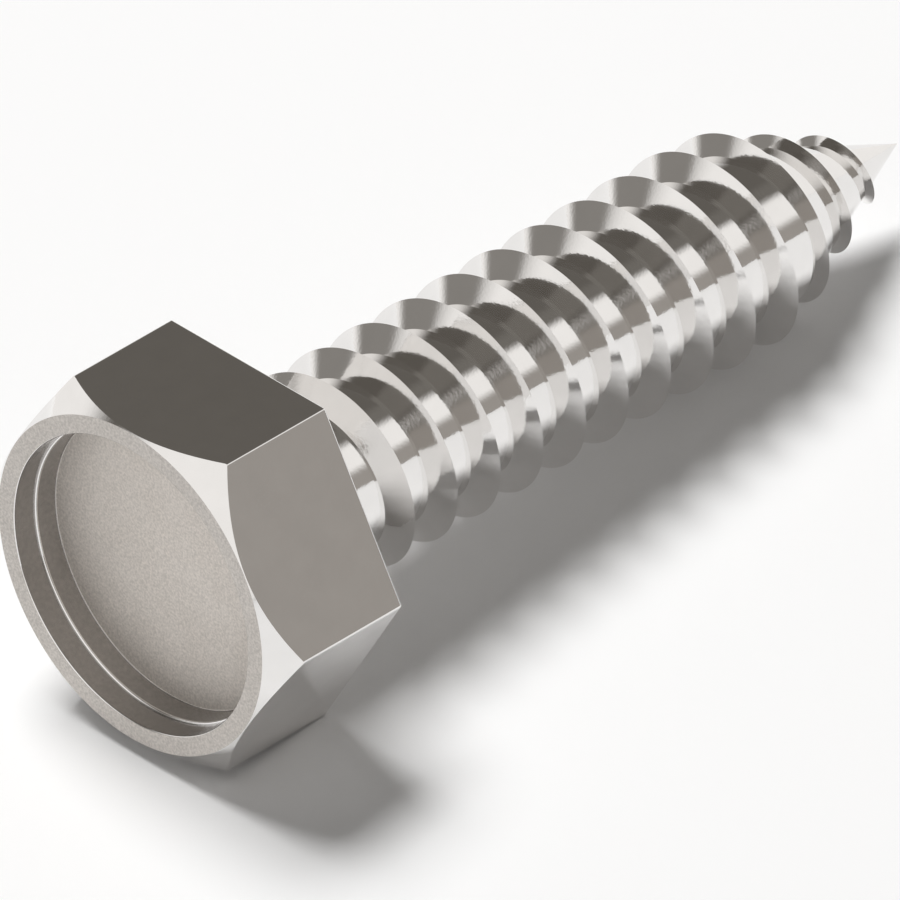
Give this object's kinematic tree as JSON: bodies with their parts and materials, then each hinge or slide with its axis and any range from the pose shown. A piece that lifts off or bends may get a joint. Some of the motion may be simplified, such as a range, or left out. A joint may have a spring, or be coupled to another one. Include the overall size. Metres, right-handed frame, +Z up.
{
  "type": "hex head tapping screw",
  "caption": "Steel tapping screw with a chamfered, recessed hexagon head and a coarse sharp thread that tapers to a point.",
  "frame": {"origin": "on the surface that the screw lies on, below the middle of its outline", "axes": "+X from the head towards the point, +Z up; the screw's own axis dips 6.2 degrees towards the point, because it lies on the edge of its head and on one thread crest"},
  "size_m": [0.0382, 0.015, 0.0135],
  "materials": {
    "steel": "plain stainless steel, smooth as rolled, with a fine matt grain on the end of the head"
  },
  "bodies": {
    "root": {"hex_tapping_screw": "steel"}
  },
  "joints": []
}
